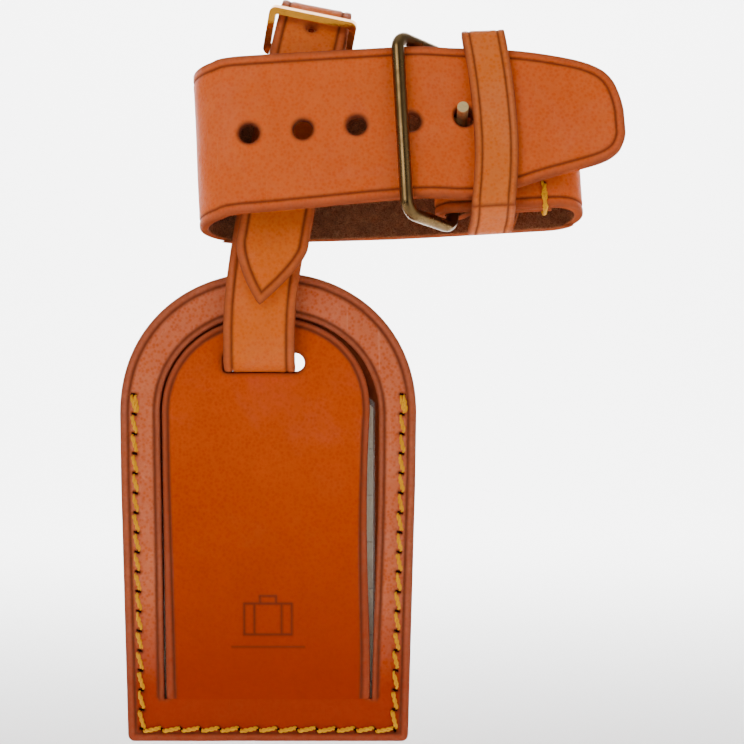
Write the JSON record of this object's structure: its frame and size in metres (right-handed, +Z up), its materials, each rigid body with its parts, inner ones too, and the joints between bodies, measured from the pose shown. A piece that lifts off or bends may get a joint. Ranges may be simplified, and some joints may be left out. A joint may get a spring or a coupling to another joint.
{
  "type": "luggage tag",
  "caption": "Arched leather address tag with a cut flap and card window, hung by a buckled strap from a buckled leather handle wrap.",
  "frame": {"origin": "centre of the handle wrap's loop, where the luggage handle passes", "axes": "+Z up along the hanging tag, the front with the flap faces -Y, +X to the right seen from the front"},
  "size_m": [0.1184, 0.0387, 0.1765],
  "materials": {
    "wrap_leather": "satin",
    "strap_leather": "satin",
    "tag_leather": "satin",
    "thread": "matte",
    "gold_metal": "polished",
    "aged_brass": "polished",
    "film": "gloss",
    "card": "matte"
  },
  "bodies": {
    "handle_wrap": {"wrap_strap": "wrap_leather", "wrap_seam_upper": "thread", "wrap_seam_lower": "thread"},
    "keeper_loop": {"wrap_keeper": "wrap_leather", "wrap_keeper_seam": "thread"},
    "wrap_buckle": {"wrap_buckle_frame": "aged_brass"},
    "wrap_prong": {"wrap_buckle_prong": "aged_brass"},
    "hanging_strap": {"tag_strap": "strap_leather", "strap_seam": "thread"},
    "small_keeper": {"strap_keeper": "strap_leather"},
    "small_buckle": {"strap_buckle_frame": "gold_metal"},
    "small_prong": {"strap_buckle_prong": "gold_metal"},
    "tag_body": {"tag_front_panel": "tag_leather", "tag_back_panel": "tag_leather", "tag_seam_left": "thread", "tag_seam_bottom": "thread", "tag_seam_right": "thread"},
    "flap": {"tag_flap": "tag_leather"},
    "card_pack": {"window_film": "film", "address_card": "card"}
  },
  "joints": [
    {"name": "keeper_slide", "type": "slide", "parent": "handle_wrap", "child": "keeper_loop", "axis": [0.9986, 0, 0.0523], "range_m": [0, 0.003]},
    {"name": "wrap_buckle_hinge", "type": "hinge", "parent": "handle_wrap", "child": "wrap_buckle", "pos_m": [0.01398, 0, 0.00073], "axis": [-0.0506, 0.2588, 0.9646], "range_deg": [0, 38]},
    {"name": "wrap_prong_hinge", "type": "hinge", "parent": "handle_wrap", "child": "wrap_prong", "pos_m": [0.01398, 0, 0.00073], "axis": [-0.0506, 0.2588, 0.9646], "range_deg": [-3, 0]},
    {"name": "strap_slide", "type": "slide", "parent": "handle_wrap", "child": "hanging_strap", "axis": [0.9986, 0, 0.0523], "range_m": [-0.003, 0.013]},
    {"name": "small_keeper_slide", "type": "slide", "parent": "hanging_strap", "child": "small_keeper", "axis": [-0.1971, -0.1492, -0.969], "range_m": [0, 0.0015]},
    {"name": "small_buckle_hinge", "type": "hinge", "parent": "hanging_strap", "child": "small_buckle", "pos_m": [-0.01939, 0.008, 0.0228], "axis": [0.9799, 0, -0.1994], "range_deg": [0, 15]},
    {"name": "small_prong_hinge", "type": "hinge", "parent": "hanging_strap", "child": "small_prong", "pos_m": [-0.01939, 0.008, 0.0228], "axis": [0.9799, 0, -0.1994], "range_deg": [-2, 2]},
    {"name": "tag_swing", "type": "hinge", "parent": "hanging_strap", "child": "tag_body", "pos_m": [-0.0283, 0.0045, -0.0475], "axis": [1, 0, 0], "range_deg": [-3, 3]},
    {"name": "flap_lift", "type": "hinge", "parent": "tag_body", "child": "flap", "pos_m": [-0.0283, 0.003, -0.1299], "axis": [1, 0, 0], "range_deg": [0, 1]},
    {"name": "card_slide", "type": "slide", "parent": "tag_body", "child": "card_pack", "axis": [0, 0, 1], "range_m": [0, 0.004]}
  ]
}
